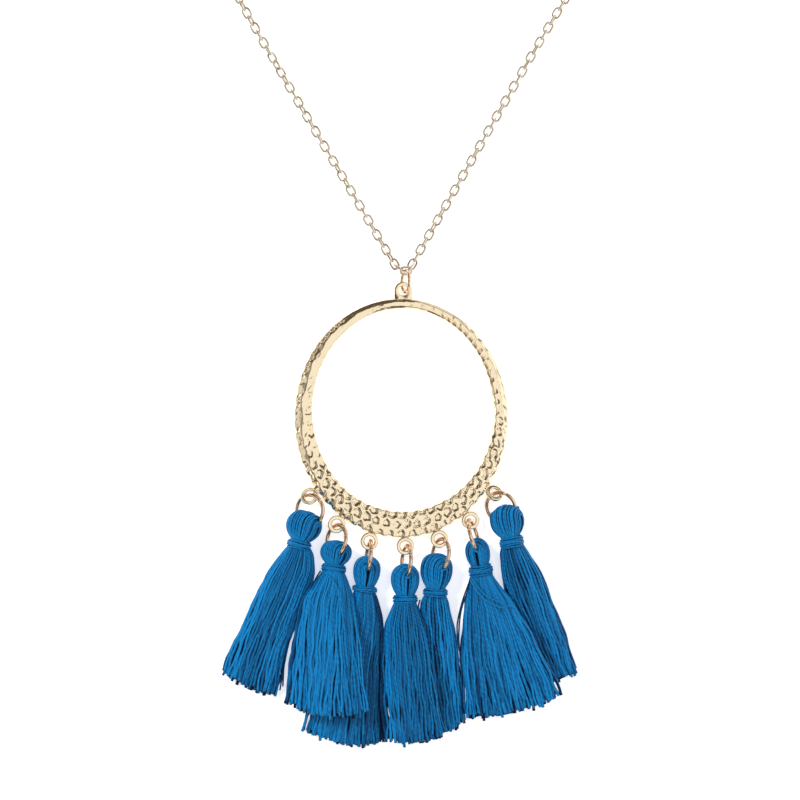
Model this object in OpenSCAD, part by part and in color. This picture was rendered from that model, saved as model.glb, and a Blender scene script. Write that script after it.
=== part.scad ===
// Tassel necklace laid out flat: a hammered oval hoop on a fine chain, with
// seven thread tassels hung from jump rings along the hoop's foot.
// The necklace lies on the plane z = 0, with the chain towards +Y and the
// tassels towards -Y. The origin is on the hoop's flat back, at the middle
// of its foot.

/* [Hoop] */
// Width of the hoop's opening
opening_w = 47; // [42:0.5:54]
// Height of the hoop's opening
opening_h = 52.8; // [48:0.4:60]
// Width of the band at its top
band_top = 2.6; // [2.2:0.1:3.4]
// Width of the band at its foot
band_foot = 7; // [6:0.2:8.4]
// Width of the band on its left side
band_left = 4.8; // [4:0.1:5.6]
// Width of the band on its right side
band_right = 4; // [3.4:0.1:5]
// Thickness of the band at its top
thick_top = 2.6; // [2.4:0.1:3.2]
// Thickness of the band at its foot
thick_foot = 3.6; // [3.2:0.1:4.2]
// Number of dents in a row round the hoop
dent_count = 60; // [52:1:68]
// Distance from the hoop's outer edge to the first row of dents
dent_inset = 0.7; // [0.4:0.1:1.2]
// Distance between two rows of dents
dent_row = 2.6; // [2.2:0.1:3]
// Width of a dent
dent_d = 2.4; // [1.8:0.1:2.8]
// Depth of a dent
dent_depth = 0.32; // [0.1:0.02:0.45]

/* [Lugs and tab] */
// Hole in each lug
lug_hole = 2.7; // [2.5:0.1:3]
// Wire of each lug
lug_wire = 0.9; // [0.7:0.05:1]
// Distance from the hoop's edge to the middle of a lug
lug_reach = 2.2; // [2:0.1:2.6]
// Height of a lug's middle over the hoop's back
lug_z = 2.6; // [2.2:0.1:2.8]
// Hole in the tab
tab_hole = 2.5; // [2.4:0.1:2.8]
// Width of the tab
tab_w = 4.6; // [4.4:0.1:5.4]
// Thickness of the tab
tab_t = 0.9; // [0.7:0.05:1]
// Distance from the hoop's edge to the middle of the tab's hole
tab_reach = 2.1; // [1.9:0.1:2.6]

/* [Rings] */
// Outer diameter of a jump ring
ring_d = 9; // [8.4:0.1:10]
// Wire of a jump ring
ring_wire = 1.1; // [0.9:0.05:1.2]
// Outer diameter of the bail ring
bail_d = 6.4; // [6.2:0.1:7.2]
// Wire of the bail ring
bail_wire = 0.8; // [0.6:0.05:0.9]
// Width of the seam where a ring closes
seam = 0.15; // [0.1:0.05:0.3]

/* [Tassels] */
// Width of a plain tassel's head
head_w = 8.4; // [7.4:0.2:9]
// Depth of a head, front to back
head_t = 6.2; // [5.4:0.2:6.6]
// Distance from a head's top to the middle of its neck
head_l = 8.2; // [7.4:0.2:9]
// Diameter of the neck under the wrap
neck_d = 5; // [4.4:0.1:5.4]
// Length of a plain skirt below the neck
skirt_l = 38; // [30:1:44]
// Width of a plain skirt at its end
skirt_w = 16; // [13:0.5:17]
// Depth of a plain skirt at its end
skirt_t = 3.4; // [2.6:0.2:3.8]
// Thread that winds round the neck
wrap_thread = 0.62; // [0.5:0.02:0.7]
// Depth of the furrow between two locks, as a share of the skirt's section
lock_depth = 0.2; // [0.05:0.05:0.3]
// Cover of thread between a ring's wire and the head's top
head_cover = 3; // [2.6:0.1:3.4]
// Clearance round a ring in a head and round a neck in its wrap
thread_gap = 0.12; // [0.1:0.02:0.2]

/* [Chain] */
// Length of the chain with its clasp
chain_length = 700; // [500:10:800]
// Width of a chain link, which is the tube's diameter
link_w = 2.45; // [2:0.05:2.6]
// Wire of a chain link
link_wire = 0.5; // [0.4:0.02:0.6]
// Angle between each straight leg and the upright
leg_angle = 30; // [24:1:36]
// Length of the clasp over its two eyes
clasp_l = 11; // [8:1:16]
// Diameter of the clasp's barrel
clasp_d = 3.4; // [3:0.1:4]
// Outer diameter of the eye at each end of the clasp
eye_d = 2.8; // [2.4:0.1:3.2]
// Wire of the clasp's eyes
eye_wire = 0.7; // [0.6:0.05:0.9]
// Clearance between neighbouring pieces
gap = 0.2; // [0.15:0.05:0.3]

/* [Hidden] */
TASSELS = 7;

function numbered(name) = [for (k = [1 : TASSELS]) str(name, k)];

// Metal and thread colours
GOLD = [0.86, 0.74, 0.52];
COPPER = [0.72, 0.52, 0.36];
BLUE = [0.04, 0.38, 0.66];

// Where each tassel hangs. Columns: angle of its lug round the hoop, turn
// of the lug about its own stem, heading of the line from the ring's middle
// to the lug, roll of the ring about that line, where 90 is upright, and
// slack of the ring in the lug as a share of its wire
LUG_AT = 0;
LUG_TURN = 1;
HEADING = 2;
ROLL = 3;
SLACK = 4;
HANG = [
    [217.6, -22, 94, 150, -0.25],
    [236.2, -8, 78, 128, 0.2],
    [254.2, 0, 83, 98, 0.27],
    [272.1, 0, 86, 107, 0.27],
    [289.2, 0, 83, 122, 0.2],
    [306.8, 0, 107, 78, 0.27],
    [323.9, -40, 129, 156, 0.1],
];

// The heads. Columns: width and length as shares of a plain head, lean of
// the head from the -Y direction, turns of the wrap, extra cover over the
// ring as a share of head_cover, shift off the ring as a share of head_w
WIDE = 0;
LONG = 1;
LEAN = 2;
TURNS = 3;
COVER = 4;
SHIFT = 5;
HEAD = [
    [1.14, 1.09, -13.7, 4, -0.12, -0.21],
    [1, 0.88, -8, 4, 0.02, 0.07],
    [0.87, 1.03, -6.6, 3, 0.04, 0],
    [0.92, 1.1, 0, 4, -0.19, 0],
    [1.03, 1.23, -2.7, 4, 0.12, -0.07],
    [0.79, 1.02, 9.9, 5, -0.27, -0.02],
    [1.09, 1.18, 12.2, 5, 0.05, -0.12],
];

// The skirts. Columns: length, width at the end and depth at the end as
// shares of a plain skirt, heading from the -Y direction, power of the
// flare, lift of the end, of its left edge and of its right edge, as
// shares of skirt_t
END_W = 1;
END_T = 2;
COURSE = 3;
FLARE = 4;
LIFT = 5;
LEFT = 6;
RIGHT = 7;
SKIRT = [
    [1.07, 1.08, 1, -20.4, 0.58, 0, 0, -0.25],
    [0.97, 1.34, 1, -4.2, 0.72, 1.42, -0.6, 0.8],
    [1.06, 1.35, 0.8, -9.4, 0.6, 0, -0.32, -0.1],
    [0.98, 0.9, 1, 4.9, 0.5, 1, -0.4, 1.1],
    [0.93, 0.76, 0.7, 4.1, 0.55, 0, -0.15, 0],
    [0.97, 1.6, 1, 12, 0.72, 0.35, 0, 1.35],
    [0.98, 0.92, 0.7, 19.2, 0.62, 0, -0.1, 0],
];

// The form of a head and of a skirt. Columns: share of the way along, then
// width and depth as shares of the head's, and shares of a skirt's way
HEAD_FORM = [
    [0.03, 0.5, 0.5],
    [0.16, 0.85, 0.85],
    [0.42, 1, 1],
    [0.68, 0.86, 0.94],
];
SKIRT_STEPS = [0.3, 0.55, 0.78, 1];

// The band's section at the hoop's top, sides and foot. Columns: place of
// the ridge between front and bevel as a share of half the width, drop of
// the bevel as a share of the thickness
RIDGE = 0;
DROP = 1;
BAND = [
    [0.25, 0.26],
    [0.6, 0.3],
    [0.84, 0.36],
];
DROP_EASE = 1.6;

// The hoop's two ovals
outer_w = opening_w + band_left + band_right;
outer_h = opening_h + band_top + band_foot;
outer_x = (band_right - band_left) / 2;
outer_y = (band_top - band_foot) / 2;
hoop_y = (opening_h + band_foot) / 2;
stem_d = lug_wire * 1.1;
stem_root = band_left * 0.35;
tab_z = thick_top * 0.65;
tab_angle = 88.9;
dent_pitch = PI * (outer_w + outer_h) / 2 / dent_count;
dents_start = 0.08;
dents_fade = 0.2;
stations = 240;
sunk = 0.3;
wall = 0.06;
big = 200;

// Rings: radius of the wire's middle line
ring_r = (ring_d - ring_wire) / 2;
bail_r = (bail_d - bail_wire) / 2;
ring_seam_at = 60;
bail_roll = 70;
bail_heading = -92;
bail_seam_at = 100;

// The chain's loop: two straight legs under one round arc
per_radius = 2 / tan(leg_angle) + (180 + 2 * leg_angle) * PI / 180;
arc_r = chain_length / per_radius;
leg_l = arc_r / tan(leg_angle);
rest_z = link_w / 2;
climb_l = 5;
turn_ease = 1.35;
tube_sides = 8;
tube_rings = 78;
thin_l = 0.6;
swell_l = 8;
even_share = 0.08;

// Tassel sections
locks = 10;
lock_points = 4;
round_points = locks * lock_points;
neck_z = neck_d / 2 + thread_gap + wrap_thread + gap;
wrap_inset = wrap_thread * 0.2;
head_furrow = 0.25;
root_furrow = 0.4;
root_w = 1.2;
root_t = 1.1;
root_l = 1;
root_next = 2.2;
bend_at = 0.35;
settling = 0.6;
lock_round = 0.7;
end_reach = 0.02;
brush_in = 0.05;
brush_share = 0.7;
tiny = 0.01;

function ease(x) = x <= 0 ? 0 : x >= 1 ? 1 : x * x * (3 - 2 * x);
function mix(a, b, x) = a + (b - a) * x;
function unit(v) = v / norm(v);

// A point on an oval
function oval(w, h, angle) = [cos(angle) * w / 2, sin(angle) * h / 2];
function inner_at(angle) = oval(opening_w, opening_h, angle);
function outer_at(angle) = [outer_x, outer_y] + oval(outer_w, outer_h, angle);

// The outward direction at the hoop's outer edge
function outward(angle) = unit([cos(angle) / outer_w, sin(angle) / outer_h]);
function beyond(angle, reach) = outer_at(angle) + reach * outward(angle);

// The band's thickness at one angle
function foot_share(angle) = (1 - sin(angle)) / 2;
function thick_at(angle) = mix(thick_top, thick_foot, foot_share(angle));

// A column of the band's section table, between top, sides and foot
function band_form(angle, column) = let(f = 2 * foot_share(angle)) f < 1
    ? mix(BAND[0][column], BAND[1][column], pow(f, DROP_EASE))
    : mix(BAND[1][column], BAND[2][column], f - 1);

// Depth of the dents at a distance w from the outer edge. Alternate rows
// are half a column apart, and the dents fade out towards the top
function dent(angle, w) = let(
        row = (w - dent_inset) / dent_row,
        r = round(row),
        turn = angle / 360 * dent_count + (r % 2) / 2,
        along = (turn - round(turn)) * dent_pitch,
        reach = 2 * norm([along, (row - r) * dent_row]) / dent_d,
        shown = ease((foot_share(angle) - dents_start) / dents_fade)
    ) shown * dent_depth * max(0, 1 - reach * reach);

// The front's height at x, from -1 at the inner edge to 1 at the outer edge
function front(angle, x) = let(
        width = norm(outer_at(angle) - inner_at(angle)),
        ridge = band_form(angle, RIDGE),
        fall = max(0, abs(x) - ridge) / (1 - ridge)
    ) thick_at(angle) * (1 - band_form(angle, DROP) * fall) - dent(angle, (1 - x) / 2 * width);

// The hoop's section at one angle, as pairs of share across and height
function hoop_section(angle) = let(
        ridge = band_form(angle, RIDGE),
        edge = thick_at(angle) * (1 - band_form(angle, DROP)),
        half = [0, ridge / 2, ridge, (1 + ridge) / 2, 1 - wall / 2],
        places = concat([for (i = [4 : -1 : 1]) -half[i]], half)
    ) concat(
        [[wall, -sunk], [0, edge / 2]],
        [for (x = places) [(1 + x) / 2, front(angle, x)]],
        [[1, edge / 2], [1 - wall, -sunk]]);

function on_band(angle, share) = mix(inner_at(angle), outer_at(angle), share);

// Faces of a tube-like mesh of rings, closed on itself
function quads(rows, n, closed) = [for (i = [0 : rows - (closed ? 1 : 2)], j = [0 : n - 1])
    let(a = i * n + j, b = i * n + (j + 1) % n,
        c = ((i + 1) % rows) * n + (j + 1) % n, d = ((i + 1) % rows) * n + j)
    each [[a, c, b], [a, d, c]]];

// Places everything that is measured from the middle of the opening
module from_middle() {
    translate([0, hoop_y, 0]) children();
}

module hoop_band() {
    points = [for (i = [0 : stations - 1]) let(angle = i * 360 / stations)
        for (s = hoop_section(angle)) let(p = on_band(angle, s[0])) [p[0], p[1], s[1]]];
    difference() {
        polyhedron(points, quads(stations, len(hoop_section(0)), true), convexity = 8);
        translate([-big, -big, -big]) cube([2 * big, 2 * big, big]);
    }
}

module wire_ring(r, wire) {
    rotate_extrude($fn = 32) translate([r, 0]) circle(d = wire, $fn = 14);
}

module lug(k) {
    angle = HANG[k][LUG_AT];
    place = beyond(angle, lug_reach);
    way = outward(angle);
    r = (lug_hole + lug_wire) / 2;
    stem = lug_reach - r + stem_root;
    translate([place[0], place[1], lug_z])
        rotate([0, 0, atan2(way[1], way[0])])
        rotate([HANG[k][LUG_TURN], 0, 0]) {
            wire_ring(r, lug_wire);
            translate([-r - stem, 0, 0])
                rotate([0, 90, 0]) cylinder(h = stem, d = stem_d, $fn = 24);
        }
}

module tab() {
    place = beyond(tab_angle, tab_reach);
    root = tab_reach + band_top / 2;
    translate([place[0], place[1], tab_z - tab_t / 2])
        linear_extrude(tab_t) {
            circle(d = tab_w, $fn = 48);
            translate([-tab_w / 2, -root]) square([tab_w, root]);
        }
}

module tab_bore() {
    place = beyond(tab_angle, tab_reach);
    translate([place[0], place[1], tab_z - tab_t]) cylinder(h = 2 * tab_t, d = tab_hole, $fn = 48);
}

module hoop() {
    color(GOLD) from_middle() difference() {
        union() {
            hoop_band();
            for (k = [0 : TASSELS - 1]) lug(k);
            tab();
        }
        tab_bore();
    }
}

// The middle of a ring whose wire passes through a hole and which rests on
// the plane z = 0. The wire crosses the hole's height off the hole's middle
// by the slack, on the ring's side
function ring_z(r, wire, roll) = r * sin(roll) + wire / 2;
function ring_middle(hole, hole_z, heading, roll, r, wire, slack) = let(
        z = ring_z(r, wire, roll),
        s = (hole_z - z) / (r * sin(roll)),
        c = sqrt(1 - s * s),
        along = [cos(heading), sin(heading)],
        aside = [-sin(heading), cos(heading)],
        p = hole - (slack + r * c) * along - r * s * cos(roll) * aside
    ) [p[0], p[1], z];

module open_ring(r, wire, seam_at) {
    difference() {
        wire_ring(r, wire);
        rotate([0, 0, seam_at]) translate([r - wire, -seam / 2, -wire])
            cube([2 * wire, seam, 2 * wire]);
    }
}

function jump_middle(k) = ring_middle(beyond(HANG[k][LUG_AT], lug_reach), lug_z,
    HANG[k][HEADING], HANG[k][ROLL], ring_r, ring_wire, HANG[k][SLACK] * ring_wire);

module at_jump(k) {
    from_middle() translate(jump_middle(k))
        rotate([0, 0, HANG[k][HEADING]]) rotate([HANG[k][ROLL], 0, 0]) children();
}

module jump_ring(k) {
    color(COPPER) at_jump(k) open_ring(ring_r, ring_wire, ring_seam_at);
}

bail_hole = beyond(tab_angle, tab_reach);
bail_middle = ring_middle(bail_hole, tab_z, bail_heading, bail_roll, bail_r, bail_wire, 0);

module bail_ring() {
    color(GOLD) from_middle() translate(bail_middle)
        rotate([0, 0, bail_heading]) rotate([bail_roll, 0, 0])
        open_ring(bail_r, bail_wire, bail_seam_at);
}

// Directions in the plane: 0 is -Y, and a positive angle turns to +X
function course(angle) = [sin(angle), -cos(angle)];
function square_to(v) = [-v[1], v[0]];

// The top of a tassel's head, its neck and its skirt's end, seen from above
function head_top(k) = let(
        m = jump_middle(k),
        far = [m[0], m[1]] - ring_r * [cos(HANG[k][HEADING]), sin(HANG[k][HEADING])],
        cover = ring_wire / 2 + head_cover * (1 + HEAD[k][COVER]),
        way = course(HEAD[k][LEAN])
    ) far - cover * way + HEAD[k][SHIFT] * head_w * square_to(way);
function head_len(k) = head_l * HEAD[k][LONG];
function neck_at(k) = head_top(k) + head_len(k) * course(HEAD[k][LEAN]);
function skirt_len(k) = skirt_l * SKIRT[k][0];
function skirt_end(k) = neck_at(k) + skirt_len(k) * course(SKIRT[k][COURSE]);
function wrap_len(k) = HEAD[k][TURNS] * wrap_thread;
function end_z(k) = skirt_t * (SKIRT[k][END_T] / 2 + SKIRT[k][LIFT]) + gap / 2;

// A curved way from the neck to the skirt's end that leaves along the lean
function skirt_way(k, t) = let(
        a = neck_at(k),
        c = skirt_end(k),
        b = a + course(HEAD[k][LEAN]) * skirt_len(k) * bend_at
    ) (1 - t) * (1 - t) * a + 2 * t * (1 - t) * b + t * t * c;
function skirt_dir(k, t) = unit(skirt_way(k, t + tiny) - skirt_way(k, t - tiny));

// One row of the tassel's sections: middle, direction, half width, half
// depth, furrow depth, lift of the left and right edges, share of the ends
function head_row(k, form) = let(
        p = head_top(k) + head_len(k) * form[0] * course(HEAD[k][LEAN])
    ) [[p[0], p[1], neck_z], course(HEAD[k][LEAN]),
       form[1] * head_w * HEAD[k][WIDE] / 2, form[2] * head_t / 2, lock_depth * head_furrow, 0, 0, 0];

function neck_row(k, side) = let(
        p = neck_at(k) + side * (wrap_len(k) / 2 + gap) * course(HEAD[k][LEAN])
    ) [[p[0], p[1], neck_z], course(HEAD[k][LEAN]), neck_d / 2, neck_d / 2, 0, 0, 0, 0];

function skirt_row(k, t) = let(
        p = skirt_way(k, t),
        s = 1 - (1 - t) * (1 - t),
        settled = pow(t, settling),
        wide = mix(neck_d * root_w / 2, skirt_w * SKIRT[k][END_W] / 2, pow(t, SKIRT[k][FLARE])),
        deep = mix(neck_d * root_t / 2, skirt_t * SKIRT[k][END_T] / 2, settled),
        z = mix(neck_z, end_z(k), settled)
    ) [[p[0], p[1], z], skirt_dir(k, t), wide, deep, lock_depth * mix(root_furrow, 1, t),
       s * skirt_t * SKIRT[k][LEFT], s * skirt_t * SKIRT[k][RIGHT], t >= 1 ? 1 : 0];

function tassel_rows(k) = let(
        start = (wrap_len(k) / 2 + root_l) / skirt_len(k)
    ) concat(
        [for (form = HEAD_FORM) head_row(k, form)],
        [neck_row(k, -1), neck_row(k, 1)],
        [for (t = concat([start, start * root_next], SKIRT_STEPS)) skirt_row(k, t)]);

// How far each lock reaches past or stays short of the end
function lock_reach(k) = rands(-2 * end_reach, end_reach, locks, 31 + k);

function section_point(k, row, j) = let(
        angle = j * 360 / round_points,
        crest = pow(abs(sin(angle * locks / 2)), lock_round),
        r = 1 - row[4] * (1 - crest),
        side = square_to(row[1]),
        c = cos(angle),
        edge = c * c * (c < 0 ? row[5] : row[6]),
        lock = floor(j / lock_points),
        out = row[7] * skirt_len(k) * (lock_reach(k)[lock] - 2 * end_reach * (1 - crest)),
        p = [row[0][0], row[0][1]] + side * row[2] * c * r + row[1] * out
    ) [p[0], p[1], row[0][2] + row[3] * sin(angle) * r + edge];

// The end is pulled in a little, so each lock ends in a blunt brush
function brush_middle(k, row) = row[0] - [row[1][0], row[1][1], 0] * skirt_len(k) * brush_in;
function end_point(k, row, j, share) = let(
        p = section_point(k, row, j),
        m = brush_middle(k, row)
    ) mix(m, p, share);

module tassel_body(k) {
    rows = tassel_rows(k);
    last = rows[len(rows) - 1];
    top = head_top(k);
    n = round_points;
    rings = [for (row = rows) for (j = [0 : n - 1]) section_point(k, row, j)];
    brush = [for (j = [0 : n - 1]) end_point(k, last, j, brush_share)];
    points = concat(rings, brush, [[top[0], top[1], neck_z], brush_middle(k, last)]);
    count = len(rows) + 1;
    brush_start = len(rings);
    top_index = brush_start + n;
    end_index = top_index + 1;
    first = [for (j = [0 : n - 1]) [top_index, j, (j + 1) % n]];
    end = [for (j = [0 : n - 1]) [end_index, brush_start + (j + 1) % n, brush_start + j]];
    polyhedron(points, concat(quads(count, n, false), first, end), convexity = 10);
}

module tassel(k) {
    color(BLUE) difference() {
        from_middle() tassel_body(k);
        at_jump(k) wire_ring(ring_r, ring_wire + 2 * thread_gap);
    }
}

module wrap(k) {
    place = neck_at(k);
    turns = HEAD[k][TURNS];
    inner = neck_d / 2 + thread_gap;
    color(BLUE) from_middle() translate([place[0], place[1], neck_z])
        rotate([0, 0, HEAD[k][LEAN]]) rotate([90, 0, 0])
        translate([0, 0, -wrap_len(k) / 2])
        rotate_extrude($fn = 48) {
            translate([inner, wrap_inset])
                square([wrap_thread / 2, wrap_len(k) - 2 * wrap_inset]);
            for (i = [0 : turns - 1])
                translate([inner + wrap_thread / 2, (i + 0.5) * wrap_thread])
                    circle(d = wrap_thread, $fn = 16);
        }
}

// The chain turns round the bail ring's top wire. Its straight legs would
// meet at the apex, and the loop is measured from there
turn = (bail_wire / 2 + link_wire + gap) * turn_ease;
apex = [bail_middle[0], bail_middle[1] + bail_r - turn / sin(leg_angle)];
arc_y = apex[1] + arc_r / sin(leg_angle);
sweep_angle = 90 + leg_angle;

// The point at a distance s from the apex along the right half of the loop
function loop_point(s) = s < leg_l
    ? [s * sin(leg_angle), apex[1] + norm([s * cos(leg_angle), turn])]
    : let(a = (s - leg_l) / arc_r * 180 / PI - leg_angle)
        [arc_r * cos(a), arc_y + arc_r * sin(a)];
function loop_z(s) = rest_z + (bail_middle[2] - rest_z) * exp(-pow(s / climb_l, 2));
function loop_at(s) = let(
        p = loop_point(abs(s)),
        x = s < 0 ? -p[0] : p[0]
    ) [apex[0] + x, p[1], loop_z(abs(s))];
half_loop = leg_l + arc_r * sweep_angle * PI / 180;
chain_end = half_loop - clasp_l / 2 - gap;

// The tube is thin where it turns inside the bail ring
function tube_r(s) = mix(link_wire, link_w / 2, ease((abs(s) - thin_l) / swell_l));

// Distances of the tube's rings from the apex, closer near it
function ring_at(i) = let(u = 2 * i / (tube_rings - 1) - 1)
    chain_end * mix(u * abs(u), u, even_share);

module chain() {
    points = [for (i = [0 : tube_rings - 1]) let(
            s = ring_at(i),
            p = loop_at(s),
            d = unit(loop_at(s + thin_l) - loop_at(s - thin_l)),
            side = unit(cross([0, 0, 1], d)),
            up = cross(d, side))
        for (j = [0 : tube_sides - 1]) let(a = j * 360 / tube_sides)
            p + tube_r(s) * (cos(a) * side + sin(a) * up)];
    last = (tube_rings - 1) * tube_sides;
    start_cap = [[for (j = [0 : tube_sides - 1]) j]];
    end_cap = [[for (j = [0 : tube_sides - 1]) last + tube_sides - 1 - j]];
    faces = concat(quads(tube_rings, tube_sides, false), start_cap, end_cap);
    color(GOLD) from_middle() polyhedron(points, faces, convexity = 6);
}

module clasp() {
    barrel = clasp_l - 2 * eye_d + eye_wire;
    round_r = clasp_d / 2;
    color(GOLD) from_middle() translate([apex[0], arc_y + arc_r, clasp_d / 2]) {
        rotate([0, 90, 0]) rotate_extrude($fn = 48) intersection() {
            translate([0, -barrel / 2]) square([round_r, barrel]);
            union() {
                translate([0, round_r - barrel / 2]) square([round_r, barrel - 2 * round_r]);
                for (side = [-1, 1])
                    translate([0, side * (barrel / 2 - round_r)]) circle(r = round_r, $fn = 32);
            }
        }
        for (side = [-1, 1]) translate([side * (clasp_l - eye_d) / 2, 0, 0])
            wire_ring((eye_d - eye_wire) / 2, eye_wire);
    }
}

hoop();
bail_ring();
chain();
clasp();
for (k = [0 : TASSELS - 1]) {
    jump_ring(k);
    tassel(k);
    wrap(k);
}
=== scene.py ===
import math
from collections import namedtuple

import bpy
import numpy as np
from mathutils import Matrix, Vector


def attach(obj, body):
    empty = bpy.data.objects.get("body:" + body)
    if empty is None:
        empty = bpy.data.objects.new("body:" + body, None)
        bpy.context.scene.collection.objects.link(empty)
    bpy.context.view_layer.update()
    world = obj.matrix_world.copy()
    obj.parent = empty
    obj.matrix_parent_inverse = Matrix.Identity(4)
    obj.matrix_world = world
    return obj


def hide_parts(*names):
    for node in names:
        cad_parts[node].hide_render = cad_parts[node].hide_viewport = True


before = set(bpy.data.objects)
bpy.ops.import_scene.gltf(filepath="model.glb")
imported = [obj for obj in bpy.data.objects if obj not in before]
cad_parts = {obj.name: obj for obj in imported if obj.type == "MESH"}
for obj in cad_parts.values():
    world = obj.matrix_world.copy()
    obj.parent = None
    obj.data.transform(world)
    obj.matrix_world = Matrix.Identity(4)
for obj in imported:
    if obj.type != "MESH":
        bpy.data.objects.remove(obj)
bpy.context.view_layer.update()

MM = 0.001
TAU = 2 * math.pi

# The photo's frame: what its centre shows on the ground, how much it spans, and the
# camera over it with its sensor in mm
VIEW_X = -0.68 * MM
VIEW_Y = 32.44 * MM
VIEW_SPAN = 209.1 * MM
CAMERA_HEIGHT = 1.5
SENSOR = 36
# Length of a pixel of the photo in mm, and the pixel that shows the opening's middle
PIXEL = 0.2614
PIXEL_X = 402.6
PIXEL_Y = 409.7
# Half of the floor's width and the point that the lights look at, in metres
FLOOR_HALF = 4
LIT_POINT = (0, 0.03, 0)

# Sizes in mm, as in the CAD model
OPEN_W, OPEN_H = 47, 52.8
BAND_TOP, BAND_FOOT, BAND_LEFT, BAND_RIGHT = 2.6, 7, 4.8, 4
THICK_TOP, THICK_FOOT = 2.6, 3.6
OUT_W = OPEN_W + BAND_LEFT + BAND_RIGHT
OUT_H = OPEN_H + BAND_TOP + BAND_FOOT
OUT_X = (BAND_RIGHT - BAND_LEFT) / 2
OUT_Y = (BAND_TOP - BAND_FOOT) / 2
HOOP_Y = (OPEN_H + BAND_FOOT) / 2
LUG_HOLE, LUG_WIRE, LUG_REACH, LUG_Z = 2.7, 0.9, 2.2, 2.6
TAB_HOLE, TAB_W, TAB_T, TAB_REACH, TAB_ANGLE = 2.5, 4.6, 0.9, 2.1, 88.9
TAB_Z = THICK_TOP * 0.65
RING_D, RING_WIRE = 9, 1.1
BAIL_D, BAIL_WIRE, BAIL_HEADING, BAIL_ROLL = 6.4, 0.8, -92, 70
SEAM = 0.15
HEAD_W, HEAD_T, HEAD_L, HEAD_COVER = 8.4, 6.2, 8.2, 3
NECK_R, THREAD_GAP, WRAP_THREAD, GAP = 2.5, 0.12, 0.62, 0.2
NECK_Z = NECK_R + THREAD_GAP + WRAP_THREAD + GAP
SKIRT_L, SKIRT_W, SKIRT_T = 38, 16, 3.4
LINK_L, LINK_W, LINK_WIRE, PITCH = 3.35, 2.45, 0.5, 2.235
CHAIN_L, LEG_ANGLE, CLASP_L = 700, math.radians(30), 11

# Lug angle and turn, ring heading and roll, slack, as in the CAD model
Hang = namedtuple("Hang", "angle turn heading roll slack")
HANG = [Hang(*row) for row in (
    (217.6, -22, 94, 150, -0.25),
    (236.2, -8, 78, 128, 0.2),
    (254.2, 0, 83, 98, 0.27),
    (272.1, 0, 86, 107, 0.27),
    (289.2, 0, 83, 122, 0.2),
    (306.8, 0, 107, 78, 0.27),
    (323.9, -40, 129, 156, 0.1),
)]
# Head: width, length, lean, turns of the wrap, cover, shift
Head = namedtuple("Head", "width length lean turns cover shift")
HEAD = [Head(*row) for row in (
    (1.14, 1.09, -13.7, 4, -0.12, -0.21),
    (1, 0.88, -8, 4, 0.02, 0.07),
    (0.87, 1.03, -6.6, 3, 0.04, 0),
    (0.92, 1.1, 0, 4, -0.19, 0),
    (1.03, 1.23, -2.7, 4, 0.12, -0.07),
    (0.79, 1.02, 9.9, 5, -0.27, -0.02),
    (1.09, 1.18, 12.2, 5, 0.05, -0.12),
)]
# Skirt: length, end width, end depth, course, flare, lift, left and right lift
Skirt = namedtuple("Skirt", "length width depth course flare lift left right")
SKIRT = [Skirt(*row) for row in (
    (1.07, 1.08, 1, -20.4, 0.58, 0, 0, -0.25),
    (0.97, 1.34, 1, -4.2, 0.72, 1.42, -0.6, 0.8),
    (1.06, 1.35, 0.8, -9.4, 0.6, 0, -0.32, -0.1),
    (0.98, 0.9, 1, 4.9, 0.5, 1, -0.4, 1.1),
    (0.93, 0.76, 0.7, 4.1, 0.55, 0, -0.15, 0),
    (0.97, 1.6, 1, 12, 0.72, 0.35, 0, 1.35),
    (0.98, 0.92, 0.7, 19.2, 0.62, 0, -0.1, 0),
)]
# The band round the hoop: angle, place of the outer ridge across the band and
# its fall to the edge, the same for the inner ridge, and how much of the
# outer, middle and inner row of dents shows
RIDGE_OUT, FALL_OUT, RIDGE_IN, FALL_IN, DENT_COLUMN = 1, 2, 3, 4, 5
BAND = np.array([
    (0, 0.35, 0.9, -0.55, 1.3, 0.3, 0.7, 0.4),
    (14, 0.35, 0.9, -0.62, 0.5, 0.1, 0.4, 0.3),
    (24, 0.45, 0.6, -0.62, 0.2, 0.05, 0.2, 0.2),
    (62, 0.45, 0.45, -0.6, 0.2, 0.05, 0.12, 0.15),
    (80, 0.5, 0.3, -0.5, 0.3, 0.1, 0.05, 0.1),
    (90, 0.3, 0.26, -0.4, 0.35, 0.1, 0.05, 0.1),
    (120, 0.15, 0.36, -0.3, 0.26, 0.1, 0.05, 0.15),
    (150, 0.15, 0.5, -0.3, 0.26, 0.1, 0.05, 0.2),
    (162, 0.15, 1.15, -0.1, 0.3, 0.35, 0.1, 0.35),
    (180, 0.2, 1.35, 0.05, 0.4, 0.5, 0.25, 0.4),
    (207, 0.35, 1.3, -0.2, 0.3, 0.5, 0.45, 0.5),
    (220, 0.62, 1.2, -0.7, 0.6, 0.8, 0.9, 0.7),
    (236, 0.66, 1.15, -0.85, 0.6, 1, 1, 1),
    (250, 0.82, 0.35, -0.88, 0.3, 1, 1, 1),
    (270, 0.86, 0.25, -0.9, 0.3, 1, 1, 1),
    (300, 0.84, 0.35, -0.88, 0.5, 1, 1, 1),
    (315, 0.8, 0.9, -0.8, 1.3, 1, 1, 1),
    (340, 0.5, 0.9, -0.7, 1.5, 0.5, 0.95, 0.7),
])
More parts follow.
